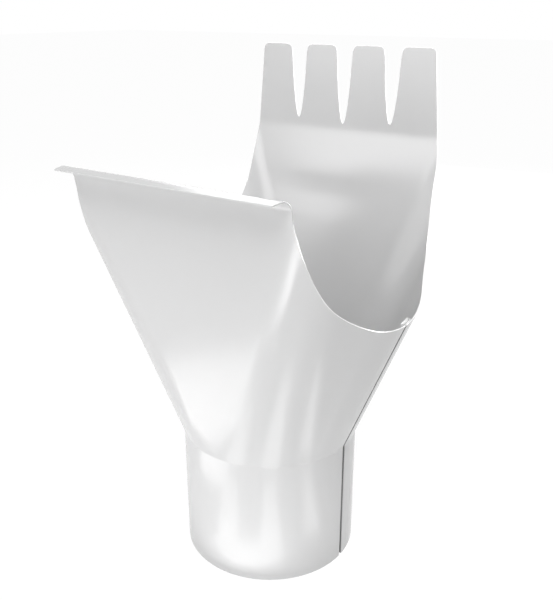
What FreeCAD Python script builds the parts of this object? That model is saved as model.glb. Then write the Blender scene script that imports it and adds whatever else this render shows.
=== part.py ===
import FreeCAD, Part
import math
import os

from FreeCAD import Vector

# Gutter outlet of folded and painted sheet steel, in millimetres.
# The gutter runs along X above the outlet, its front faces -Y, and the downpipe leaves along -Z.
# The origin is on the axis of the collar, level with its lower rim.

# Sheet
wall = 0.6
seam_gap = 0.2

# Collar and waist
collar_radius = 43.5
waist_height = 64.3
waist_bend_radius = 4.0

# Funnel, set out on the level of the lip, where its section is largest
lip_level = 200.6
front_spread = 66.3
back_spread = 66.05
nose_spread = 98.84
nose_radius = 56.05
front_corner_radius = 20.9
back_corner_radius = 27.9
front_cheek_turn = 28.4
back_cheek_turn = 32.8
corner_strips = 4

# Saddle, the cut-out that takes the gutter: half widths and heights of its edge above its lowest point
saddle_bottom = 134.0
saddle_half_width = 72.0
saddle_runout = 3.0
front_saddle = [(67.6, 138.9), (64.3, 144.7), (61.6, 152.8), (59.4, 163.1), (57.4, 175.3)]
front_saddle_top = 190.0
back_saddle = [(68.2, 138.7), (63.2, 145.4), (58.6, 155.1), (55.6, 167.2), (54.2, 181.0), (53.4, 194.0)]

# Lip, turned out along the front edge
lip_half_length = 55.2
lip_bend_radius = 6.7
lip_flat = 3.6
lip_droop = 8.0
lip_corner_length = 5.0
lip_corner_width = 0.9

# Strip of four tabs that rises behind the gutter
strip_rise = 2.1
strip_half_width = 52.1
tab_height = 41.4
tab_count = 4
tab_width = 17.2
tab_pitch = 26.6
tab_corner_radius = 3.0
notch_rise = 5.0
notch_root_height = 2.5
middle_notch_extra = 1.6

# Lock seam along the +X side of the collar and the funnel
seam_lap = 6.5
seam_shoulder_radius = 0.6
seam_shoulder_turn = 70.0
seam_corner_cut = 1.6
seam_inset = 0.015
seam_root_angle = 2.0

# Distances below which two levels or two edges count as one
same_level = 0.01
sewing_gap = 0.001

strip_base = lip_level + strip_rise
tab_top = strip_base + tab_height
funnel_top = strip_base + wall
front_lean = (front_spread - collar_radius) / (lip_level - waist_height)
back_lean = (back_spread - collar_radius) / (lip_level - waist_height)
nose_lean = (nose_spread - collar_radius) / (lip_level - waist_height)
front_lean_angle = math.degrees(math.atan(front_lean))


def polar(center_x, center_y, radius, degrees, level):
    angle = math.radians(degrees)
    return Vector(center_x + radius * math.cos(angle), center_y + radius * math.sin(angle), level)


def arc(center_x, center_y, radius, start, end, level):
    turns = (start, (start + end) / 2, end)
    return Part.Arc(*[polar(center_x, center_y, radius, degrees, level) for degrees in turns]).toShape()


def flat_face(*points):
    return Part.Face(Part.makePolygon([*points, points[0]]))


def corner_center(spread, radius, cheek_turn):
    # The corner touches the flat panel and the straight cheek, which itself touches the nose.
    angle = math.radians(cheek_turn)
    nose_x = nose_spread - nose_radius
    start_x = nose_x + (nose_radius - radius) * math.cos(angle)
    start_y = (nose_radius - radius) * math.sin(angle)
    run = (spread - radius - start_y) / math.cos(angle)
    return start_x - run * math.sin(angle), spread - radius


def funnel_solid(inset):
    # Oblique cones and flat triangles between the round waist and the larger section at the top.
    scale = (funnel_top - waist_height) / (lip_level - waist_height)

    def at_top(value, lower=0.0):
        return lower + (value - lower) * scale

    low = waist_height
    top = funnel_top
    ring = collar_radius - inset
    nose = (at_top(nose_spread - nose_radius), at_top(nose_radius, collar_radius) - inset)
    front = corner_center(front_spread, front_corner_radius, front_cheek_turn)
    back = corner_center(back_spread, back_corner_radius, back_cheek_turn)
    corners = [
        (-1, front, front_corner_radius, front_cheek_turn),
        (1, back, back_corner_radius, back_cheek_turn),
    ]
    faces = []
    lower_edges = []
    upper_edges = []
    for side in (1, -1):
        def angle(degrees):
            return degrees if side > 0 else 180 - degrees

        lower = arc(0, 0, ring, angle(-front_cheek_turn), angle(back_cheek_turn), low)
        upper = arc(side * nose[0], 0, nose[1], angle(-front_cheek_turn), angle(back_cheek_turn), top)
        faces.append(Part.makeRuledSurface(lower, upper))
        lower_edges.append(lower)
        upper_edges.append(upper)
        for direction, center, radius, turn in corners:
            center_x = side * at_top(center[0])
            center_y = direction * at_top(center[1])
            corner = at_top(radius, collar_radius) - inset
            for strip in range(corner_strips):
                start, end = [
                    angle(direction * (turn + (90 - turn) * share / corner_strips))
                    for share in (strip, strip + 1)
                ]
                lower = arc(0, 0, ring, start, end, low)
                upper = arc(center_x, center_y, corner, start, end, top)
                faces.append(Part.makeRuledSurface(lower, upper))
                lower_edges.append(lower)
                upper_edges.append(upper)
            start = angle(direction * turn)
            cheek = [
                polar(side * nose[0], 0, nose[1], start, top),
                polar(center_x, center_y, corner, start, top),
            ]
            faces.append(flat_face(polar(0, 0, ring, start, low), *cheek))
            upper_edges.append(Part.makeLine(*cheek))
    for direction, center, radius, turn in corners:
        level_y = direction * (at_top(center[1]) + at_top(radius, collar_radius) - inset)
        half = at_top(center[0])
        ends = [Vector(-half, level_y, top), Vector(half, level_y, top)]
        faces.append(flat_face(Vector(0, direction * ring, low), *ends))
        upper_edges.append(Part.makeLine(*ends))
    for edges in (lower_edges, upper_edges):
        faces.append(Part.Face(Part.Wire(Part.__sortEdges__(edges))))
    shell = Part.makeShell(faces)
    shell.sewShape(sewing_gap)
    return Part.makeSolid(shell)


def tube_body(inset, bend_radius):
    # The collar and the funnel as one solid, with the soft bend of the waist between them.
    collar = Part.makeCylinder(collar_radius - inset, waist_height)
    body = collar.fuse(funnel_solid(inset)).removeSplitter()
    waist = [
        edge for edge in body.Edges
        if abs(edge.BoundBox.ZMin - waist_height) < same_level
        and abs(edge.BoundBox.ZMax - waist_height) < same_level
    ]
    return body.makeFillet(bend_radius, waist)


def folded_strip(place, start, heading, moves, thickness):
    # A strip of sheet seen from its edge: each move is a straight length, or a bend radius and its turn.
    # The turn is in degrees, positive to the left. The path is the middle of the sheet.
    half = thickness / 2
    position = start
    direction = math.radians(heading)
    left_edges = []
    right_edges = []

    def offset(point, angle, distance):
        return point[0] - distance * math.sin(angle), point[1] + distance * math.cos(angle)

    def side_points(point, angle):
        return place(*offset(point, angle, half)), place(*offset(point, angle, -half))

    first = side_points(position, direction)
    last = first
    for move in moves:
        if len(move) == 1:
            along = (move[0] * math.cos(direction), move[0] * math.sin(direction))
            position = (position[0] + along[0], position[1] + along[1])
            following = side_points(position, direction)
            left_edges.append(Part.makeLine(last[0], following[0]))
            right_edges.append(Part.makeLine(last[1], following[1]))
        else:
            radius, turn = move
            toward = math.copysign(radius, turn)
            center = offset(position, direction, toward)
            middle = direction + math.radians(turn) / 2
            direction += math.radians(turn)
            between = side_points(offset(center, middle, -toward), middle)
            position = offset(center, direction, -toward)
            following = side_points(position, direction)
            left_edges.append(Part.Arc(last[0], between[0], following[0]).toShape())
            right_edges.append(Part.Arc(last[1], between[1], following[1]).toShape())
        last = following
    ends = [Part.makeLine(*first), Part.makeLine(*last)]
    return Part.Face(Part.Wire(Part.__sortEdges__(left_edges + right_edges + ends)))


def saddle_cutter(stations, top_half_width, top_level, direction):
    # Everything outside the edge of the front or the back panel, on both sides of the outlet.
    far = 2 * nose_spread
    start = (saddle_half_width + saddle_runout, saddle_bottom - saddle_runout)
    outline = [start, (saddle_half_width, saddle_bottom), *stations, (top_half_width, top_level)]
    cutters = []
    for side in (1, -1):
        points = [Vector(side * x, 0, z) for x, z in outline]
        curve = Part.BSplineCurve()
        curve.interpolate(points)
        corners = [
            points[-1],
            Vector(side * top_half_width, 0, tab_top),
            Vector(side * far, 0, tab_top),
            Vector(side * far, 0, start[1]),
            points[0],
        ]
        border = Part.makePolygon(corners).Edges + [curve.toShape()]
        face = Part.Face(Part.Wire(Part.__sortEdges__(border)))
        cutters.append(face.extrude(Vector(0, direction * far, 0)))
    return cutters


def panel_y(spread_lean, inset, level):
    return collar_radius - inset + spread_lean * (level - waist_height)


def lip_start():
    # The top of the lip is level with lip_level, and its bend is tangent to the leaning panel.
    angle = math.radians(front_lean_angle)
    top_radius = lip_bend_radius + wall / 2
    level = lip_level - top_radius + lip_bend_radius * math.sin(angle)
    return -panel_y(front_lean, wall / 2, level), level


def lip():
    # The lip curls outwards from the front panel and ends in a flange with clipped corners.
    sheet = wall * math.cos(math.radians(front_lean_angle))
    moves = [(lip_bend_radius, 90 - front_lean_angle + lip_droop), (lip_flat,)]

    def at_end(y, z):
        return Vector(-lip_half_length, y, z)

    face = folded_strip(at_end, lip_start(), 90 + front_lean_angle, moves, sheet)
    strip = face.extrude(Vector(2 * lip_half_length, 0, 0))
    free_edge = strip.BoundBox.YMin
    for side in (1, -1):
        clip = flat_face(
            Vector(side * lip_half_length, free_edge + lip_corner_length, 0),
            Vector(side * (lip_half_length - lip_corner_width), free_edge, 0),
            Vector(side * lip_half_length, free_edge, 0),
        )
        strip = strip.cut(clip.extrude(Vector(0, 0, tab_top)))
    return strip


def above_lip_start():
    # The part of the front panel that the lip takes the place of.
    start_y, start_z = lip_start()
    angle = math.radians(front_lean_angle)
    across = Vector(0, math.cos(angle), math.sin(angle)) * 2 * lip_bend_radius
    along = Vector(0, -math.sin(angle), math.cos(angle)) * (tab_top - lip_level)
    start = Vector(-nose_spread, start_y, start_z)
    face = flat_face(start - across, start + across, start + across + along, start - across + along)
    return face.extrude(Vector(2 * nose_spread, 0, 0))


def notch(center, bottom, gap, back):
    # The gap between two tabs narrows with the square root of its height and ends in a round root.
    depth = tab_top - bottom
    sides = []
    for side in (1, -1):
        def edge_point(height):
            half_width = gap / 2 * math.sqrt(height / depth)
            return Vector(center + side * half_width, back, bottom + height)

        top = edge_point(depth)
        root = edge_point(notch_root_height)
        sides.append(Part.Arc(top, edge_point(depth / 2), root).toShape())
        sides.append(Part.makeLine(top, Vector(center, back, tab_top + gap)))
        rounding = Part.Arc(root, edge_point(notch_root_height / 4), Vector(center, back, bottom))
        sides.append(rounding.toShape())
    return Part.Face(Part.Wire(Part.__sortEdges__(sides))).extrude(Vector(0, -wall, 0))


def tab_strip():
    # An upright strip, bent up from the leaning back panel and slit into tabs.
    back = panel_y(back_lean, 0, strip_base)
    top_half = (tab_pitch * (tab_count - 1) + tab_width) / 2
    outline = [
        (-strip_half_width, strip_base),
        (strip_half_width, strip_base),
        (top_half, tab_top),
        (-top_half, tab_top),
    ]
    plate = flat_face(*[Vector(x, back, z) for x, z in outline]).extrude(Vector(0, -wall, 0))
    for index in range(tab_count - 1):
        offset = index - (tab_count - 2) / 2
        bottom = strip_base + notch_rise - (middle_notch_extra if offset == 0 else 0)
        plate = plate.cut(notch(offset * tab_pitch, bottom, tab_pitch - tab_width, back))
    corners = [
        edge for edge in plate.Edges
        if edge.BoundBox.ZMin > tab_top - same_level
        and abs(edge.BoundBox.YLength - wall) < same_level
    ]
    return plate.makeFillet(tab_corner_radius, corners)


# The two edges of the blank hook into each other inside the tube. From the outside inwards the layers are
# the back sheet, the hook of the front sheet, the hook of the back sheet and the front sheet.
layer_pitch = wall + seam_gap
seam_depth = 4 * layer_pitch
seam_sheet = wall - 2 * seam_inset
seam_middle = collar_radius - wall / 2
back_angle = math.degrees((layer_pitch + wall / 2) / seam_middle)
lap_angle = math.degrees(seam_lap / seam_middle)
end_angle = math.degrees(seam_gap / seam_middle)

# The front sheet dips under the rounded fold of the back sheet, and runs concentric with it there.
shoulder_turn = math.radians(seam_shoulder_turn)
dip_radius = 2 * layer_pitch
shoulder_drop = seam_shoulder_radius * (1 - math.cos(shoulder_turn))
dip = layer_pitch + dip_radius * math.cos(shoulder_turn) - shoulder_drop
dip_length = dip / math.sin(shoulder_turn)
bends_run = (seam_shoulder_radius + dip_radius) * math.sin(shoulder_turn)
dip_run = bends_run + dip_length * math.cos(shoulder_turn)
front_angle = math.degrees(dip_run / seam_middle) - back_angle


def back_hook(place):
    # It starts inside the wall, a hair thinner, as does the front hook.
    start = polar(0, 0, seam_middle, back_angle + seam_root_angle, 0)
    moves = [
        (seam_middle, -seam_root_angle),
        (layer_pitch, -180),
        (seam_middle - 2 * layer_pitch, lap_angle),
    ]
    return folded_strip(place, (start.x, start.y), back_angle + seam_root_angle - 90, moves, seam_sheet)


def front_hook(place):
    start = polar(0, 0, seam_middle, -front_angle - seam_root_angle, 0)
    moves = [
        (seam_middle, seam_root_angle),
        (seam_shoulder_radius, seam_shoulder_turn),
        (dip_length,),
        (dip_radius, back_angle + front_angle - seam_shoulder_turn),
        (seam_middle - 3 * layer_pitch, lap_angle + end_angle),
        (layer_pitch, -180),
        (seam_middle - layer_pitch, -lap_angle),
    ]
    return folded_strip(place, (start.x, start.y), 90 - front_angle - seam_root_angle, moves, seam_sheet)


def seam_gate(place):
    # The part of the plain wall that the two folds take the place of.
    near = collar_radius - seam_depth
    far = collar_radius + seam_depth
    front_end = -front_angle - seam_root_angle / 2
    back_end = back_angle + seam_root_angle / 2
    corners = [(near, front_end), (far, front_end), (far, back_end), (near, back_end)]
    points = [polar(0, 0, radius, degrees, 0) for radius, degrees in corners]
    return flat_face(*[place(point.x, point.y) for point in points])


def along_seam(section, top):
    # The seam follows the collar up to the waist, and from there the foremost line of the nose.
    # Both lengths have the same section, and meet in a mitre.
    bend = Vector(collar_radius - wall / 2, 0, waist_height)
    lower = Vector(0, 0, 1)
    upper = Vector(nose_lean, 0, 1).normalize()
    to_y = Vector(0, 1, 0)
    mitre = to_y.cross(lower + upper).normalize() * collar_radius / 2
    ends = (Vector(bend.x, 0, 0), bend + Vector(nose_lean, 0, 1) * (top - waist_height))
    lengths = []
    for direction, end in zip((lower, upper), ends):
        across = to_y.cross(direction)
        face = section(lambda x, y: bend + across * (x - seam_middle) + to_y * y)
        half_width = Vector(mitre.x, 0, 0)
        cell = flat_face(bend - mitre, bend + mitre, end + half_width, end - half_width)
        cell = cell.translated(to_y * -half_width.x).extrude(to_y * 2 * half_width.x)
        reach = direction * 2 * tab_top
        lengths.append(face.translated(-reach / 2).extrude(reach).common(cell))
    return lengths[0].fuse(lengths[1])


def seam_clip():
    # The lower end of the seam is clipped to a point, so that the outlet slides into the pipe.
    start_y = -seam_middle * math.sin(math.radians(front_angle)) - seam_corner_cut / 2
    clip = flat_face(
        Vector(collar_radius / 2, start_y, 0),
        Vector(collar_radius / 2, start_y + 2 * seam_corner_cut, 0),
        Vector(collar_radius / 2, start_y + seam_corner_cut, seam_corner_cut),
    )
    return clip.extrude(Vector(collar_radius, 0, 0))


def outlet():
    body = tube_body(0.0, waist_bend_radius).cut(tube_body(wall, waist_bend_radius + wall))
    above_strip_base = Vector(-nose_spread, 0, strip_base)
    cutters = [
        *saddle_cutter(front_saddle, lip_half_length, front_saddle_top, -1),
        *saddle_cutter(back_saddle, strip_half_width, strip_base, 1),
        above_lip_start(),
        Part.makeBox(2 * nose_spread, nose_spread, tab_top - strip_base, above_strip_base),
        along_seam(seam_gate, saddle_bottom + seam_depth),
    ]
    for cutter in cutters:
        body = body.cut(cutter)
    folds = [along_seam(fold, saddle_bottom).cut(seam_clip()) for fold in (back_hook, front_hook)]
    for piece in (lip(), tab_strip(), *folds):
        body = body.fuse(piece)
    return body.removeSplitter()


os.makedirs("parts", exist_ok=True)
gutter_outlet = outlet()
gutter_outlet.exportStep("parts/gutter_outlet.step")
print("gutter_outlet: solids", len(gutter_outlet.Solids), "valid", gutter_outlet.isValid())
print("volume mm3", round(gutter_outlet.Volume, 1), "faces", len(gutter_outlet.Faces))
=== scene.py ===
import math

import bmesh
import bpy
import numpy as np
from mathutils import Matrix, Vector


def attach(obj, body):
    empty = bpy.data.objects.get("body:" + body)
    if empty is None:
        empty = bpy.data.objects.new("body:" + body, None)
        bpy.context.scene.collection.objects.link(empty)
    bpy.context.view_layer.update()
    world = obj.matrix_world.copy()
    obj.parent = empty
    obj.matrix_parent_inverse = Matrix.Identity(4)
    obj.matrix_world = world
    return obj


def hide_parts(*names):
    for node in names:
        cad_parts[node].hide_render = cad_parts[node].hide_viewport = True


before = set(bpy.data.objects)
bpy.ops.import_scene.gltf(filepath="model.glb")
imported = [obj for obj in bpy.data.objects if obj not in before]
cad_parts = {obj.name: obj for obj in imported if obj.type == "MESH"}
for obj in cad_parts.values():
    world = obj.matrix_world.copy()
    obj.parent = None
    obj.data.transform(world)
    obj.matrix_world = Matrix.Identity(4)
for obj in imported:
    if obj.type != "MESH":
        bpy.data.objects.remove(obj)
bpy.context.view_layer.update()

# Sizes of the part, in millimetres, the same as the solid's.
WALL = 0.6
SEAM_GAP = 0.2
COLLAR_RADIUS = 43.5
WAIST_HEIGHT = 64.3
WAIST_BEND_RADIUS = 4.0
LIP_LEVEL = 200.6
FRONT_SPREAD = 66.3
BACK_SPREAD = 66.05
NOSE_SPREAD = 98.84
NOSE_RADIUS = 56.05
FRONT_CORNER_RADIUS = 20.9
BACK_CORNER_RADIUS = 27.9
FRONT_CHEEK_TURN = 28.4
BACK_CHEEK_TURN = 32.8
SADDLE_BOTTOM = 134.0
SADDLE_HALF_WIDTH = 72.0
SADDLE_RUNOUT = 3.0
FRONT_SADDLE = [(67.6, 138.9), (64.3, 144.7), (61.6, 152.8), (59.4, 163.1), (57.4, 175.3)]
FRONT_SADDLE_TOP = 190.0
BACK_SADDLE = [(68.2, 138.7), (63.2, 145.4), (58.6, 155.1), (55.6, 167.2), (54.2, 181.0), (53.4, 194.0)]
LIP_HALF_LENGTH = 55.2
LIP_BEND_RADIUS = 6.7
LIP_FLAT = 3.6
LIP_DROOP = 8.0
LIP_CORNER_LENGTH = 5.0
LIP_CORNER_WIDTH = 0.9
STRIP_RISE = 2.1
STRIP_HALF_WIDTH = 52.1
TAB_HEIGHT = 41.4
TAB_COUNT = 4
TAB_WIDTH = 17.2
TAB_PITCH = 26.6
TAB_CORNER_RADIUS = 3.0
NOTCH_RISE = 5.0
NOTCH_ROOT_HEIGHT = 2.5
MIDDLE_NOTCH_EXTRA = 1.6
SEAM_LAP = 6.5
SEAM_SHOULDER_RADIUS = 0.6
SEAM_SHOULDER_TURN = 70.0
SEAM_CORNER_CUT = 1.6

STRIP_BASE = LIP_LEVEL + STRIP_RISE
TAB_TOP = STRIP_BASE + TAB_HEIGHT
FUNNEL_HEIGHT = LIP_LEVEL - WAIST_HEIGHT
FRONT_LEAN = (FRONT_SPREAD - COLLAR_RADIUS) / FUNNEL_HEIGHT
BACK_LEAN = (BACK_SPREAD - COLLAR_RADIUS) / FUNNEL_HEIGHT
NOSE_LEAN = (NOSE_SPREAD - COLLAR_RADIUS) / FUNNEL_HEIGHT
STRIP_BEND_RADIUS = 32.0

# The sheet is built as its middle surface, and shown a bit thinner so that it stays in the solid's box.
MIDDLE = WALL / 2
SHEET_SHOWN = 0.57
EDGE_ROUNDING = 0.2

# The wall's lines from the seam's side to the middle of the front or back, and the steps along each line.
NOSE_LINES = 22
CHEEK_LINES = 8
CORNER_LINES = 45
PANEL_LINES = 25
COLLAR_STEPS = 9
WAIST_STEPS = 5
FUNNEL_STEPS = 24
LIP_STEPS = 16
LIP_FLAT_SHARES = (0.33, 0.67, 1.0)
STRIP_STEPS = 6
STRIP_ROW_HEIGHT = 3.0
TAB_CORNER_POINTS = 7
NOTCH_POINTS = 41
SPLINE_STEPS = 24
EDGE_SEARCH_LEVELS = 240
EDGE_SEARCH_HALVINGS = 30
EDGE_TOLERANCE = 1e-6

# A bend that turns less than this, in radians, is as good as straight.
STRAIGHT = 1e-4

# Tight bends of the folds are split by degrees, wide ones by millimetres.
TIGHT_BEND_RADIUS = 10.0
TIGHT_BEND_STEP = 14.0
WIDE_BEND_STEP = 1.2

# Vertices closer than the first are merged, and edges shorter than the second are removed, in metres.
MERGE_DISTANCE = 2e-6
SHORTEST_EDGE = 1e-6


def corner_center(spread, radius, cheek_turn):
    # The middle of a corner's arc at the level of the lip, where a flat cheek touches it and the nose.
    angle = math.radians(cheek_turn)
    nose_x = NOSE_SPREAD - NOSE_RADIUS
    start_x = nose_x + (NOSE_RADIUS - radius) * math.cos(angle)
    start_y = (NOSE_RADIUS - radius) * math.sin(angle)
    run = (spread - radius - start_y) / math.cos(angle)
    return start_x - run * math.sin(angle), spread - radius


FRONT_CENTER = corner_center(FRONT_SPREAD, FRONT_CORNER_RADIUS, FRONT_CHEEK_TURN)
BACK_CENTER = corner_center(BACK_SPREAD, BACK_CORNER_RADIUS, BACK_CHEEK_TURN)


def natural_spline(points):
    # A cubic through the points, with chord lengths as its parameter.
    points = np.array(points, float)
    chord = np.r_[0.0, np.cumsum(np.linalg.norm(np.diff(points, axis=0), axis=1))]
    step = np.diff(chord)
    count = len(points)
    matrix = np.eye(count)
    right = np.zeros((count, 2))
    for i in range(1, count - 1):
        matrix[i, i - 1:i + 2] = [step[i - 1], 2 * (step[i - 1] + step[i]), step[i]]
        right[i] = 6 * ((points[i + 1] - points[i]) / step[i] - (points[i] - points[i - 1]) / step[i - 1])
    bend = np.linalg.solve(matrix, right)
    result = []
    for i in range(count - 1):
        for share in np.linspace(0, 1, SPLINE_STEPS, endpoint=False):
            a, b, h = 1 - share, share, step[i]
            result.append(
                a * points[i] + b * points[i + 1]
                + ((a ** 3 - a) * bend[i] + (b ** 3 - b) * bend[i + 1]) * h * h / 6
            )
    result.append(points[-1])
    return np.array(result)


BOTTOM_POINTS = [
    (SADDLE_HALF_WIDTH + SADDLE_RUNOUT, SADDLE_BOTTOM - SADDLE_RUNOUT),
    (SADDLE_HALF_WIDTH, SADDLE_BOTTOM),
]
FRONT_EDGE = natural_spline(BOTTOM_POINTS + FRONT_SADDLE + [(LIP_HALF_LENGTH, FRONT_SADDLE_TOP)])
BACK_EDGE = natural_spline(BOTTOM_POINTS + BACK_SADDLE + [(STRIP_HALF_WIDTH, STRIP_BASE)])


# Below the saddle nothing cuts the wall, so its half width there is beyond any of its lines.
UNCUT_WIDTH = 1000.0


def saddle_width(level, edge):
    return np.interp(level, edge[:, 1], edge[:, 0], left=UNCUT_WIDTH, right=edge[-1, 0])


def lip_start_level():
    angle = math.atan(FRONT_LEAN)
    return LIP_LEVEL - LIP_BEND_RADIUS - MIDDLE + LIP_BEND_RADIUS * math.sin(angle)


def strip_start_level():
    angle = math.atan(BACK_LEAN)
    return STRIP_BASE - STRIP_BEND_RADIUS * math.tan(angle / 2) * math.cos(angle)


# The folded edges of the sheet in the lock seam, as the middle line of the sheet seen from above.
PITCH = WALL + SEAM_GAP
SEAM_MIDDLE = COLLAR_RADIUS - MIDDLE
BACK_ANGLE = math.degrees((PITCH + MIDDLE) / SEAM_MIDDLE)
LAP_ANGLE = math.degrees(SEAM_LAP / SEAM_MIDDLE)
END_ANGLE = math.degrees(SEAM_GAP / SEAM_MIDDLE)
SHOULDER_TURN = math.radians(SEAM_SHOULDER_TURN)
DIP_RADIUS = 2 * PITCH
DIP = (
    PITCH
    + DIP_RADIUS * math.cos(SHOULDER_TURN)
    - SEAM_SHOULDER_RADIUS * (1 - math.cos(SHOULDER_TURN))
)
DIP_LENGTH = DIP / math.sin(SHOULDER_TURN)
DIP_RUN = (
    (SEAM_SHOULDER_RADIUS + DIP_RADIUS) * math.sin(SHOULDER_TURN)
    + DIP_LENGTH * math.cos(SHOULDER_TURN)
)
FRONT_ANGLE = math.degrees(DIP_RUN / SEAM_MIDDLE) - BACK_ANGLE


def folded_line(start, heading, moves):
    # Points along straight lengths and bends: (length,) or (radius, turn), positive to the left.
    x, y = start
    direction = math.radians(heading)
    points = [(x, y)]
    for move in moves:
        if len(move) == 1:
            x, y = x + move[0] * math.cos(direction), y + move[0] * math.sin(direction)
            points.append((x, y))
            continue
        radius, turn = move[0], math.radians(move[1])
        toward = math.copysign(radius, turn)
        center = (x - toward * math.sin(direction), y + toward * math.cos(direction))
        if radius < TIGHT_BEND_RADIUS:
            steps = max(3, int(abs(move[1]) / TIGHT_BEND_STEP))
        else:
            steps = max(3, int(abs(turn) * radius / WIDE_BEND_STEP))
        for step in range(1, steps + 1):
            angle = direction + turn * step / steps
            points.append((center[0] + toward * math.sin(angle), center[1] - toward * math.cos(angle)))
        x, y = points[-1]
        direction += turn
    return points


def seam_start(degrees):
    # A point of the collar's middle line, where a fold of the seam begins.
    angle = math.radians(degrees)
    return SEAM_MIDDLE * math.cos(angle), SEAM_MIDDLE * math.sin(angle)


BACK_FOLD = folded_line(seam_start(BACK_ANGLE), BACK_ANGLE - 90, [
    (PITCH, -180),
    (SEAM_MIDDLE - 2 * PITCH, LAP_ANGLE),
])
FRONT_FOLD = folded_line(seam_start(-FRONT_ANGLE), 90 - FRONT_ANGLE, [
    (SEAM_SHOULDER_RADIUS, SEAM_SHOULDER_TURN),
    (DIP_LENGTH,),
    (DIP_RADIUS, BACK_ANGLE + FRONT_ANGLE - SEAM_SHOULDER_TURN),
    (SEAM_MIDDLE - 3 * PITCH, LAP_ANGLE + END_ANGLE),
    (PITCH, -180),
    (SEAM_MIDDLE - PITCH, -LAP_ANGLE),
])


def smooth_bend(below, corner, above, radius, count):
    # The two straight lengths below-corner-above with a round bend between them.
    one = (below - corner) / np.linalg.norm(below - corner)
    two = (above - corner) / np.linalg.norm(above - corner)
    opening = math.acos(max(-1.0, min(1.0, float(one @ two))))
    turn = math.pi - opening
    if turn < STRAIGHT:
        # The points lie on 1 mm of the line, around the corner.
        return [corner + one * 0.5 * (1 - 2 * i / (count - 1)) for i in range(count)]
    reach = radius * math.tan(turn / 2)
    middle = (one + two) / np.linalg.norm(one + two)
    center = corner + middle * radius / math.sin(opening / 2)
    start = corner + one * reach - center
    across = corner + two * reach - center
    side = across - start * (start @ across) / (radius * radius)
    side /= np.linalg.norm(side)
    angles = [turn * i / (count - 1) for i in range(count)]
    return [center + start * math.cos(angle) + side * radius * math.sin(angle) for angle in angles]


def path_through(bottom, corner, above, bend_radius, along_funnel):
    # Collar wall, bend at the waist, and then the line of the funnel.
    bend = smooth_bend(bottom, corner, above, bend_radius, WAIST_STEPS)
    collar = [bottom + (bend[0] - bottom) * i / COLLAR_STEPS for i in range(COLLAR_STEPS)]
    return collar + bend + along_funnel(bend[-1][2])


def seam_bottom(y):
    # The seam's foot is clipped to a point, so that it slides into the pipe.
    middle_y = -SEAM_MIDDLE * math.sin(math.radians(FRONT_ANGLE)) + SEAM_CORNER_CUT / 2
    return max(0.0, SEAM_CORNER_CUT - abs(y - middle_y))


def fold_path(x, y):
    # The seam runs up the collar and then along the foremost line of the nose, with one section.
    offset = x - SEAM_MIDDLE
    upper = np.array([NOSE_LEAN, 0, 1.0]) / math.hypot(NOSE_LEAN, 1)
    half = math.atan(NOSE_LEAN) / 2
    corner = np.array([SEAM_MIDDLE + offset, y, WAIST_HEIGHT - offset * math.tan(half)])

    def along_funnel(start):
        steps = range(1, FUNNEL_STEPS + 1)
        levels = [start + (SADDLE_BOTTOM - start) * i / FUNNEL_STEPS for i in steps]
        return [corner + upper * (level - corner[2]) / upper[2] for level in levels]

    bottom = np.array([x, y, seam_bottom(y)])
    bend_radius = WAIST_BEND_RADIUS + MIDDLE - offset
    return path_through(bottom, corner, corner + upper, bend_radius, along_funnel)


def share_of(level):
    # 0 at the waist and 1 at the level of the lip.
    return (level - WAIST_HEIGHT) / FUNNEL_HEIGHT


def ring_radius(lip_radius, share):
    # The radius of a nose or a corner in the sheet's middle, which is the collar's at the waist.
    return COLLAR_RADIUS + (lip_radius - COLLAR_RADIUS) * share - MIDDLE


class WallLine:
    # A straight line of the wall: at_level gives its place at any level from the waist up.
    def __init__(self, at_level, edge, top):
        self.at_level = at_level
        self.edge = edge
        self.top = top

    def end(self):
        # The level where the line meets the edge of the saddle, or its top.
        levels = np.linspace(WAIST_HEIGHT, self.top, EDGE_SEARCH_LEVELS)
        widths = np.array([abs(self.at_level(level)[0]) for level in levels])
        beyond = np.nonzero(widths > saddle_width(levels, self.edge) + EDGE_TOLERANCE)[0]
        if not len(beyond):
            return self.top, True
        low, high = levels[beyond[0] - 1], levels[beyond[0]]
        for _ in range(EDGE_SEARCH_HALVINGS):
            middle = (low + high) / 2
            if abs(self.at_level(middle)[0]) > saddle_width(middle, self.edge):
                high = middle
            else:
                low = middle
        return low, False

    def path(self):
        end, reached = self.end()
        corner = self.at_level(WAIST_HEIGHT)
        outward = np.array([corner[0], corner[1], 0.0]) / math.hypot(corner[0], corner[1])
        slope = (self.at_level(LIP_LEVEL) - corner) @ outward / FUNNEL_HEIGHT
        above = corner + outward * slope + np.array([0, 0, 1.0])
        bottom = np.array([corner[0], corner[1], 0.0])

        def along_funnel(start):
            steps = range(1, FUNNEL_STEPS + 1)
            return [self.at_level(start + (end - start) * i / FUNNEL_STEPS) for i in steps]

        return path_through(bottom, corner, above, WAIST_BEND_RADIUS + MIDDLE, along_funnel), reached


def nose_line(side, direction, turn_share, turn, root):
    # direction is -1 for the front half. Near the seam the lines keep clear of the folds.
    def at_level(level):
        share = share_of(level)
        radius = ring_radius(NOSE_RADIUS, share)
        center = (NOSE_SPREAD - NOSE_RADIUS) * share
        first = math.asin(root / radius)
        angle = first + (math.radians(turn) - first) * turn_share
        x = center + radius * math.cos(angle)
        y = radius * math.sin(angle)
        return np.array([side * x, direction * y, level])
    return at_level


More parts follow.
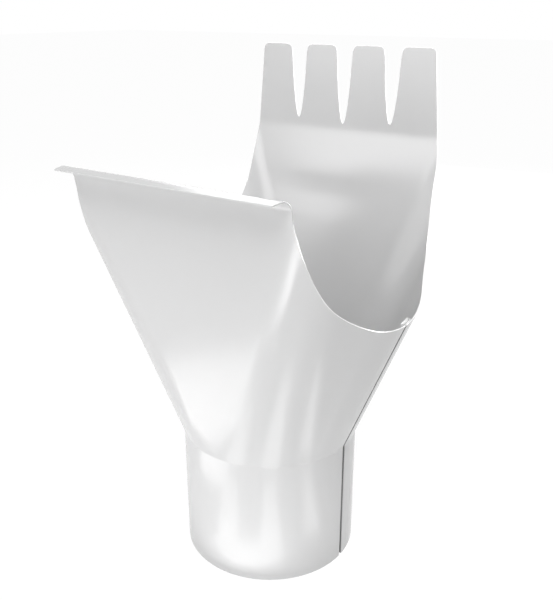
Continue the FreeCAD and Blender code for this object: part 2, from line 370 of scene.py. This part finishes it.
def cheek_line(side, direction, center, radius, turn, cheek_share):
    angle = math.radians(turn)
    nose_x = NOSE_SPREAD - NOSE_RADIUS

    def at_level(level):
        share = share_of(level)
        nose_ring = ring_radius(NOSE_RADIUS, share)
        ring = ring_radius(radius, share)
        one = np.array([nose_x * share + nose_ring * math.cos(angle), nose_ring * math.sin(angle)])
        two = np.array([
            center[0] * share + ring * math.cos(angle),
            center[1] * share + ring * math.sin(angle),
        ])
        x, y = one + (two - one) * cheek_share
        return np.array([side * x, direction * y, level])
    return at_level


def corner_line(side, direction, center, radius, angle):
    def at_level(level):
        share = share_of(level)
        ring = ring_radius(radius, share)
        x = center[0] * share + ring * math.cos(angle)
        y = center[1] * share + ring * math.sin(angle)
        return np.array([side * x, direction * y, level])
    return at_level


def panel_line(direction, lean, x_at_lip):
    def at_level(level):
        y = COLLAR_RADIUS + lean * (level - WAIST_HEIGHT) - MIDDLE
        return np.array([x_at_lip * share_of(level), direction * y, level])
    return at_level


def with_value(values, value):
    # The nearest of the values gives way to the exact one.
    values = np.array(values)
    values[np.argmin(abs(values - value))] = value
    return list(values)


def quarter_lines(side, direction):
    # The lines of one quarter of the wall, from the nose's foremost line to the middle of the panel.
    # One of them is set to end just where the saddle's edge meets the lip or the strip.
    front = direction < 0
    center = FRONT_CENTER if front else BACK_CENTER
    radius = FRONT_CORNER_RADIUS if front else BACK_CORNER_RADIUS
    turn = FRONT_CHEEK_TURN if front else BACK_CHEEK_TURN
    lean = FRONT_LEAN if front else BACK_LEAN
    edge = FRONT_EDGE if front else BACK_EDGE
    top = lip_start_level() if front else strip_start_level()
    seam_angle = FRONT_ANGLE if front else BACK_ANGLE
    root = SEAM_MIDDLE * math.sin(math.radians(seam_angle)) if side > 0 else 0.0
    angles = np.radians(np.linspace(turn, 90, CORNER_LINES))
    stations = np.linspace(center[0], 0, PANEL_LINES)[1:]
    top_share = share_of(top)
    top_width = float(saddle_width(top, edge))
    beyond_panel = top_width - center[0] * top_share
    if beyond_panel > 0:
        angles = with_value(angles, math.acos(beyond_panel / ring_radius(radius, top_share)))
    else:
        stations = with_value(stations, top_width / top_share)
    nose_shares = [i / NOSE_LINES for i in range(NOSE_LINES)]
    cheek_shares = [i / CHEEK_LINES for i in range(CHEEK_LINES)]
    lines = [nose_line(side, direction, share, turn, root) for share in nose_shares]
    lines += [cheek_line(side, direction, center, radius, turn, share) for share in cheek_shares]
    lines += [corner_line(side, direction, center, radius, angle) for angle in angles]
    lines += [panel_line(direction, lean, side * x) for x in stations]
    return [WallLine(line, edge, top) for line in lines]


def lip_path(start):
    # From the top of the front panel the lip curls outwards and ends in a flange that droops a little.
    lean = math.atan(FRONT_LEAN)
    droop = math.radians(LIP_DROOP)
    center_y = start[1] - LIP_BEND_RADIUS * math.cos(lean)
    center_z = start[2] - LIP_BEND_RADIUS * math.sin(lean)
    section = []
    for i in range(1, LIP_STEPS + 1):
        turn = lean + (math.pi / 2 - lean + droop) * i / LIP_STEPS
        y = center_y + LIP_BEND_RADIUS * math.cos(turn)
        z = center_z + LIP_BEND_RADIUS * math.sin(turn)
        section.append((y, z))
    bend_y, bend_z = section[-1]
    for share in LIP_FLAT_SHARES:
        run = LIP_FLAT * share
        section.append((bend_y - run * math.cos(droop), bend_z - run * math.sin(droop)))
    free_edge = section[-1][0]
    points = []
    for y, z in section:
        clipped = LIP_CORNER_WIDTH * max(0.0, 1 - (y - free_edge) / LIP_CORNER_LENGTH)
        points.append(np.array([start[0] * (1 - clipped / LIP_HALF_LENGTH), y, z]))
    return points


TAB_HALF = (TAB_PITCH * (TAB_COUNT - 1) + TAB_WIDTH) / 2
STRIP_ROWS_TOP = STRIP_BASE + STRIP_ROW_HEIGHT


def strip_width(level):
    # Half the strip's width, which narrows a little up to the outer tabs' tops.
    if level < STRIP_BASE:
        return float(saddle_width(level, BACK_EDGE))
    return STRIP_HALF_WIDTH + (TAB_HALF - STRIP_HALF_WIDTH) * (level - STRIP_BASE) / TAB_HEIGHT


def strip_path(start):
    # The strip of tabs stands upright above the leaning back panel.
    lean = math.atan(BACK_LEAN)
    section = []
    for i in range(1, STRIP_STEPS + 1):
        turn = lean * (1 - i / STRIP_STEPS)
        section.append((
            start[1] + STRIP_BEND_RADIUS * (math.cos(turn) - math.cos(lean)),
            start[2] + STRIP_BEND_RADIUS * (math.sin(lean) - math.sin(turn)),
        ))
    section.append((section[-1][0], STRIP_ROWS_TOP))
    widest = strip_width(start[2])
    return [np.array([start[0] * strip_width(z) / widest, y, z]) for y, z in section]


def rounded_corner(before, corner, after):
    # The round corner of a tab. Its points are (x, z).
    ends = [np.array([x, 0.0, z]) for x, z in (before, corner, after)]
    bend = smooth_bend(*ends, TAB_CORNER_RADIUS, TAB_CORNER_POINTS)
    return [(point[0], point[2]) for point in bend]


# A gap's curve stops this many corner radii below the tabs' tops, where their round corners begin.
NOTCH_END = 1.2


def tab_outline():
    # From the strip's -X end over the four tabs and the gaps between them to its +X end, as (x, z). A gap
    # is a parabola. The foot of a tab's side only says how the side leans at its round corner.
    points = []
    gap = TAB_PITCH - TAB_WIDTH
    widening = (gap / 4) / (TAB_TOP - STRIP_BASE - NOTCH_ROOT_HEIGHT) * TAB_HEIGHT
    foot_level = TAB_TOP - TAB_HEIGHT
    last = TAB_COUNT - 1
    for index in range(TAB_COUNT):
        middle = (index - last / 2) * TAB_PITCH
        left, right = middle - TAB_WIDTH / 2, middle + TAB_WIDTH / 2
        left_foot = left - widening if index > 0 else -STRIP_HALF_WIDTH
        right_foot = right + widening if index < last else STRIP_HALF_WIDTH
        points += rounded_corner((left_foot, foot_level), (left, TAB_TOP), (right, TAB_TOP))
        points += rounded_corner((left, TAB_TOP), (right, TAB_TOP), (right_foot, foot_level))
        if index < last:
            extra = MIDDLE_NOTCH_EXTRA if index == TAB_COUNT // 2 - 1 else 0
            bottom = STRIP_BASE + NOTCH_RISE - extra
            depth = TAB_TOP - bottom
            limit = math.sqrt(1 - NOTCH_END * TAB_CORNER_RADIUS / depth)
            center = right + gap / 2
            for share in np.linspace(-limit, limit, NOTCH_POINTS):
                points.append((center + share * gap / 2, bottom + depth * share * share))
    return points


def to_metres(point):
    return tuple(float(value) / 1000 for value in point)


# The marks that forming leaves across the back panel: a swelling inwards and a dent below it. Each has
# its height, outwards positive, its level with a spread, and its place along X with a spread.
BACK_MARKS = [
    (-0.70, 183.5, 6.2, -12.0, 34.0),
    (0.55, 169.0, 6.2, -6.0, 32.0),
]

# The soft ridge on the +X front corner. Its place is the cosine of the angle round the corner's cone.
RIDGE_HEIGHT = 0.30
RIDGE_PLACE = 0.31
RIDGE_WIDTH = 3.2
RIDGE_LEVEL = 156.0
RIDGE_SPREAD = 22.0


def hill(value, center, spread):
    return math.exp(-((value - center) / spread) ** 2)


def formed(point):
    # The point with the shallow marks of forming, which move it along Y.
    x, y, z = point
    if y > 0:
        outwards = 0.0
        for height, mark_level, rise_spread, mark_x, x_spread in BACK_MARKS:
            outwards += height * hill(z, mark_level, rise_spread) * hill(x, mark_x, x_spread)
    else:
        ring = COLLAR_RADIUS + (FRONT_CORNER_RADIUS - COLLAR_RADIUS) * share_of(z)
        ridge_x = FRONT_CENTER[0] * share_of(z) + RIDGE_PLACE * ring
        outwards = RIDGE_HEIGHT * hill(x, ridge_x, RIDGE_WIDTH) * hill(z, RIDGE_LEVEL, RIDGE_SPREAD)
    return point + np.array([0.0, math.copysign(outwards, outwards * y), 0.0])


def sheet_columns():
    # One sheet from the inner end of the back fold, round the tube, to the inner end of the front fold,
    # and the numbers of the columns that end in the strip of tabs.
    columns = [fold_path(x, y) for x, y in reversed(BACK_FOLD[1:])]
    around = quarter_lines(1, 1)
    around += quarter_lines(-1, 1)[::-1][1:]
    around += quarter_lines(-1, -1)[1:]
    around += quarter_lines(1, -1)[::-1][1:]
    strip_ends = []
    for line in around:
        path, reached = line.path()
        if reached and line.edge is FRONT_EDGE:
            path += lip_path(path[-1])
        elif reached:
            path += strip_path(path[-1])
            strip_ends.append(len(columns))
        columns.append(path)
    columns += [fold_path(x, y) for x, y in FRONT_FOLD[1:]]
    columns = [[formed(point) for point in column] for column in columns]
    return columns, strip_ends


def outlet_mesh():
    # The middle surface: a grid of columns, and one face for the strip with its tabs.
    columns, strip_ends = sheet_columns()
    mesh = bmesh.new()
    rows = [[mesh.verts.new(to_metres(point)) for point in column] for column in columns]
    for left, right in zip(rows, rows[1:]):
        for j in range(min(len(left), len(right)) - 1):
            mesh.faces.new((left[j], right[j], right[j + 1], left[j + 1]))
    strip_y = columns[strip_ends[0]][-1][1]
    top_row = [rows[i][-1] for i in strip_ends]
    outline = [mesh.verts.new(to_metres((x, strip_y, z))) for x, z in tab_outline()]
    mesh.faces.new(top_row + outline)
    bmesh.ops.remove_doubles(mesh, verts=mesh.verts, dist=MERGE_DISTANCE)
    bmesh.ops.dissolve_degenerate(mesh, edges=mesh.edges, dist=SHORTEST_EDGE)
    bmesh.ops.recalc_face_normals(mesh, faces=mesh.faces)
    data = bpy.data.meshes.new("outlet_sheet")
    mesh.to_mesh(data)
    mesh.free()
    return data


# The seam's groove lies between the round nose of the back fold and the shoulder of the front sheet. The
# shade painted into it is full from this depth on.
GROOVE_DEPTH = 0.2
NOSE_CENTER = [(SEAM_MIDDLE - PITCH) / SEAM_MIDDLE * value for value in seam_start(BACK_ANGLE)]
GROOVE_START = -COLLAR_RADIUS * math.sin(math.radians(FRONT_ANGLE))


def groove_painted_shade(face):
    # How much painted shade a face gets, from none at the groove's rims and on the rest of the sheet to
    # 1.
    x, y, z = face.calc_center_median() * 1000
    near_seam = x >= COLLAR_RADIUS / 2 and GROOVE_START < y < NOSE_CENTER[1]
    if not near_seam:
        return 0.0
    offset = x - SEAM_MIDDLE
    if z > WAIST_HEIGHT:
        # Above the waist the seam leans outwards, and its level section is longer by the mitre.
        offset -= NOSE_LEAN * (z - WAIST_HEIGHT)
        offset /= 1 + NOSE_LEAN * math.tan(math.atan(NOSE_LEAN) / 2)
    x = SEAM_MIDDLE + offset
    on_nose = math.hypot(x - NOSE_CENTER[0], y - NOSE_CENTER[1]) < DIP_RADIUS - MIDDLE - SEAM_GAP / 2
    if not on_nose and face.normal.x < 0:
        return 0.0
    depth = COLLAR_RADIUS - math.hypot(x, y)
    return max(0.0, min(1.0, depth / GROOVE_DEPTH))


# Edges sharper than the first angle are rounded, and those sharper than the second are shaded sharp.
ROUNDED_FROM = math.radians(60)
SHARP_FROM = math.radians(20)

# Cut faces get a painted highlight of bright bare metal where they face up more than this, but not on the
# lip's free edge, in front of the second value.
BRIGHT_UP = 0.03
LIP_EDGE_Y = -72.0


# Whether a face gets the painted highlight of bright bare metal.
def is_highlit_cut(face):
    on_cut = face.material_index == 1
    on_lip_edge = face.calc_center_median().y * 1000 < LIP_EDGE_Y
    return on_cut and face.normal.z > BRIGHT_UP and not on_lip_edge


def with_thickness(data):
    # The sheet's thickness, and the slightly rounded edges that the shears leave. Two empty material
    # slots tell the cut faces, in the second, from the others until the face layers are made.
    piece = bpy.data.objects.new("outlet_sheet", data)
    bpy.context.scene.collection.objects.link(piece)
    data.materials.append(None)
    data.materials.append(None)
    solid = piece.modifiers.new("thickness", "SOLIDIFY")
    solid.thickness = SHEET_SHOWN / 1000
    solid.offset = 0
    solid.use_even_offset = True
    solid.use_quality_normals = True
    solid.material_offset_rim = 1
    bevel = piece.modifiers.new("edges", "BEVEL")
    bevel.width = EDGE_ROUNDING / 1000
    bevel.material = 1
    bevel.segments = 2
    bevel.limit_method = "ANGLE"
    bevel.angle_limit = ROUNDED_FROM
    evaluated = piece.evaluated_get(bpy.context.evaluated_depsgraph_get())
    final = bpy.data.meshes.new_from_object(evaluated)
    piece.modifiers.clear()
    piece.data = final
    mesh = bmesh.new()
    mesh.from_mesh(final)
    # Face layers: a painted highlight on upward cut faces, and painted shade in the seam's groove.
    cut_edge_highlight = mesh.faces.layers.float.new("cut_edge_highlight")
    seam_painted_shade = mesh.faces.layers.float.new("seam_painted_shade")
    for face in mesh.faces:
        face.smooth = True
        face[cut_edge_highlight] = float(is_highlit_cut(face))
        face[seam_painted_shade] = groove_painted_shade(face)
        face.material_index = 0
    for edge in mesh.edges:
        edge.smooth = edge.calc_face_angle(math.pi) < SHARP_FROM
    mesh.to_mesh(final)
    mesh.free()
    return piece


outlet = with_thickness(outlet_mesh())
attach(outlet, "root")
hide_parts("gutter_outlet")


class Nodes:
    # The node tree of a material or of the world, with short ways to add and link nodes.
    def __init__(self, owner):
        owner.use_nodes = True
        self.tree = owner.node_tree
        self.tree.nodes.clear()

    def add(self, kind, **inputs):
        node = self.tree.nodes.new(kind)
        for name, value in inputs.items():
            self.put(node, name.replace("_", " "), value)
        return node

    def put(self, node, name, value):
        socket = node.inputs[name]
        if isinstance(value, bpy.types.NodeSocket):
            self.tree.links.new(value, socket)
        else:
            socket.default_value = value

    def math(self, operation, one, two=0.0):
        node = self.tree.nodes.new("ShaderNodeMath")
        node.operation = operation
        self.put(node, 0, one)
        self.put(node, 1, two)
        return node.outputs[0]

    def between(self, share, low, high):
        node = self.add("ShaderNodeMapRange")
        self.put(node, "Value", share)
        self.put(node, "To Min", low)
        self.put(node, "To Max", high)
        return node.outputs["Result"]

    def attribute(self, name):
        node = self.add("ShaderNodeAttribute")
        node.attribute_name = name
        return node.outputs["Fac"]

    def noise(self, where, scale, detail=2.0):
        node = self.add("ShaderNodeTexNoise", Vector=where, Scale=scale, Detail=detail)
        return node.outputs["Fac"]

    def mixed(self, share, one, two):
        return self.add("ShaderNodeMixRGB", Fac=share, Color1=one, Color2=two).outputs["Color"]


# Linear colours.
WHITE = (1, 1, 1, 1)
PAINT_DARK = (0.67, 0.67, 0.672, 1)
PAINT_LIGHT = (0.72, 0.72, 0.722, 1)
# Near-black painted shade for the seam's groove, and how fully it covers the paint there.
SEAM_SHADE_COLOR = (0.05, 0.05, 0.05, 1)
SEAM_SHADE_SHARE = 0.95
# Bare metal of the cut edges, painted bright white as a highlight on the upward cut faces only.
BARE_METAL_HIGHLIGHT = (0.97, 0.97, 0.97, 1)
PAINT_IOR = 1.7


def painted_sheet():
    # Glossy white paint on smooth steel with faint clouds, orange peel and the sheet's slow waves. The
    # seam's groove gets painted shade, and cut edges that face up are bare metal with a painted
    # highlight.
    material = bpy.data.materials.new("white_paint")
    nodes = Nodes(material)
    where = nodes.add("ShaderNodeTexCoord").outputs["Object"]
    cloud = nodes.noise(where, 14.0, 4.0)
    speck = nodes.noise(where, 900.0)
    # Painted shade, dark where the seam's groove is deep.
    seam_shade = nodes.math("MULTIPLY", nodes.attribute("seam_painted_shade"), SEAM_SHADE_SHARE)
    # Upward cut faces get bright bare metal, a painted highlight.
    cut_highlight = nodes.attribute("cut_edge_highlight")
    paint = nodes.mixed(nodes.between(cloud, 0.2, 0.8), PAINT_DARK, PAINT_LIGHT)
    color = nodes.mixed(cut_highlight, nodes.mixed(seam_shade, paint, SEAM_SHADE_COLOR), BARE_METAL_HIGHLIGHT)
    shine = nodes.math("ADD", nodes.between(cloud, 0.19, 0.25), nodes.between(speck, -0.01, 0.01))
    soft_peel = nodes.math("MULTIPLY", nodes.noise(where, 420.0), 0.7)
    peel = nodes.math("ADD", soft_peel, nodes.math("MULTIPLY", speck, 0.3))
    swell = nodes.noise(where, 16.0, 1.0)
    fine = nodes.add("ShaderNodeBump", Strength=0.05, Distance=0.0002, Height=peel)
    wave = nodes.add("ShaderNodeBump", Strength=0.15, Distance=0.002, Height=swell)
    nodes.put(wave, "Normal", fine.outputs["Normal"])
    shader = nodes.add("ShaderNodeBsdfPrincipled", Base_Color=color, Metallic=cut_highlight, Roughness=shine)
    nodes.put(shader, "IOR", PAINT_IOR)
    nodes.put(shader, "Normal", wave.outputs["Normal"])
    output = nodes.add("ShaderNodeOutputMaterial")
    nodes.put(output, "Surface", shader.outputs["BSDF"])
    return material


outlet.data.materials.clear()
outlet.data.materials.append(painted_sheet())


# The floor is mostly a white glow for the camera. The rest of it is lit, and keeps the part's shadow.
FLOOR_COLOR = (0.80, 0.80, 0.80, 1)
FLOOR_GLOW = 1.05
FLOOR_GLOW_SHARE = 0.93
FLOOR_HALF_SIZE = 6.0


def seen_directly(nodes):
    # 1 for what the camera sees itself, mirrored or through glass, and 0 for the light on the part.
    path = nodes.add("ShaderNodeLightPath")
    either = nodes.math("MAXIMUM", path.outputs["Is Camera Ray"], path.outputs["Is Glossy Ray"])
    return nodes.math("MAXIMUM", either, path.outputs["Is Transmission Ray"])


def white_floor():
    material = bpy.data.materials.new("floor")
    nodes = Nodes(material)
    lit = nodes.add("ShaderNodeBsdfDiffuse", Color=FLOOR_COLOR)
    white = nodes.add("ShaderNodeEmission", Color=WHITE, Strength=FLOOR_GLOW)
    share = nodes.math("MULTIPLY", seen_directly(nodes), FLOOR_GLOW_SHARE)
    mix = nodes.add("ShaderNodeMixShader", Fac=share)
    nodes.put(mix, 1, lit.outputs[0])
    nodes.put(mix, 2, white.outputs[0])
    output = nodes.add("ShaderNodeOutputMaterial")
    nodes.put(output, "Surface", mix.outputs[0])
    return material


floor_data = bpy.data.meshes.new("floor")
floor_signs = [(-1, -1), (1, -1), (1, 1), (-1, 1)]
floor_corners = [(x * FLOOR_HALF_SIZE, y * FLOOR_HALF_SIZE, 0) for x, y in floor_signs]
floor_data.from_pydata(floor_corners, [], [(0, 1, 2, 3)])
floor = bpy.data.objects.new("floor", floor_data)
bpy.context.scene.collection.objects.link(floor)
floor_data.materials.append(white_floor())

# The world is white for the camera and gives the part only a little light.
WORLD_LIGHT = 0.05

world = bpy.data.worlds.new("studio")
bpy.context.scene.world = world
sky = Nodes(world)
strength = sky.between(seen_directly(sky), WORLD_LIGHT, 1.0)
background = sky.add("ShaderNodeBackground", Color=WHITE, Strength=strength)
sky_output = sky.add("ShaderNodeOutputWorld")
sky.put(sky_output, "Surface", background.outputs[0])


MIDDLE_OF_PART = Vector((0, 0, 0.11))
PANEL_LIFT = 0.003


def lamp_at(name, place, aim, width, length, power):
    # A flat lamp that the camera doesn't see.
    data = bpy.data.lights.new(name, "AREA")
    data.shape = "RECTANGLE"
    data.size = width
    data.size_y = length
    data.energy = power
    lamp = bpy.data.objects.new(name, data)
    bpy.context.scene.collection.objects.link(lamp)
    lamp.location = place
    lamp.rotation_euler = (aim - place).to_track_quat("-Z", "Y").to_euler()
    lamp.visible_camera = False
    return lamp


def softbox(name, turn, rise, distance, size, power):
    # Turn is in degrees from +Y towards +X, and rise is above the horizon. Lengths are in metres.
    turn, rise = math.radians(turn), math.radians(rise)
    level_part = math.cos(rise)
    direction = Vector((math.sin(turn) * level_part, math.cos(turn) * level_part, math.sin(rise)))
    lamp_at(name, MIDDLE_OF_PART + direction * distance, MIDDLE_OF_PART, size, size, power)


def low_panel(name, turn, distance, width, length, power):
    # A light panel that lies on the floor and shines up, its length pointing away from the collar.
    turn = math.radians(turn)
    place = Vector((math.sin(turn) * distance, math.cos(turn) * distance, PANEL_LIFT))
    lamp = lamp_at(name, place, place + Vector((0, 0, 1)), width, length, power)
    lamp.rotation_euler = (math.pi, 0, -turn)


# A softbox has its turn, rise, distance, size and power.
softbox("key_light", 150, 56, 1.0, 0.50, 6.3)
softbox("camera_side_light", 152, 14, 0.9, 0.40, 0.9)
softbox("left_light", 270, 16, 0.9, 0.55, 0.6)
softbox("inside_light", 240, 14, 1.0, 0.50, 0.5)
softbox("front_left_light", 206, 16, 0.9, 0.36, 1.2)
softbox("right_light", 100, 14, 1.0, 0.50, 1.3)
softbox("back_light", 329, 28, 0.9, 0.45, 1.4)
softbox("behind_left_light", 350, 6, 1.0, 0.50, 1.6)
softbox("behind_right_light", 12, 6, 1.0, 0.50, 1.6)

# A panel has its turn, distance, width, length and power.
low_panel("low_left", 212, 0.145, 0.09, 0.080, 0.048)
low_panel("low_far", 178, 0.250, 0.07, 0.12, 0.11)
low_panel("low_front", 165, 0.058, 0.064, 0.020, 0.0046)
low_panel("low_strip_one", 188, 0.094, 0.030, 0.052, 0.0062)
low_panel("low_strip_two", 145, 0.094, 0.026, 0.052, 0.0068)
low_panel("low_strip_three", 104, 0.094, 0.022, 0.052, 0.0050)


# The camera stands where the photograph was taken from.
CAMERA_TURN = math.radians(34.34)
CAMERA_DIP = math.radians(21.13)
CAMERA_PLACE = Vector((0.19719, -0.28278, 0.26339))
FOCAL_LENGTH = 46.07

forward = Vector((
    -math.sin(CAMERA_TURN) * math.cos(CAMERA_DIP),
    math.cos(CAMERA_TURN) * math.cos(CAMERA_DIP),
    -math.sin(CAMERA_DIP),
))
camera_data = bpy.data.cameras.new("camera")
camera_data.lens = FOCAL_LENGTH
camera_data.sensor_width = 36
camera_data.clip_start = 0.01
camera = bpy.data.objects.new("camera", camera_data)
bpy.context.scene.collection.objects.link(camera)
camera.location = CAMERA_PLACE
camera.rotation_euler = forward.to_track_quat("-Z", "Y").to_euler()
bpy.context.scene.camera = camera

bpy.context.scene.view_settings.view_transform = "Standard"
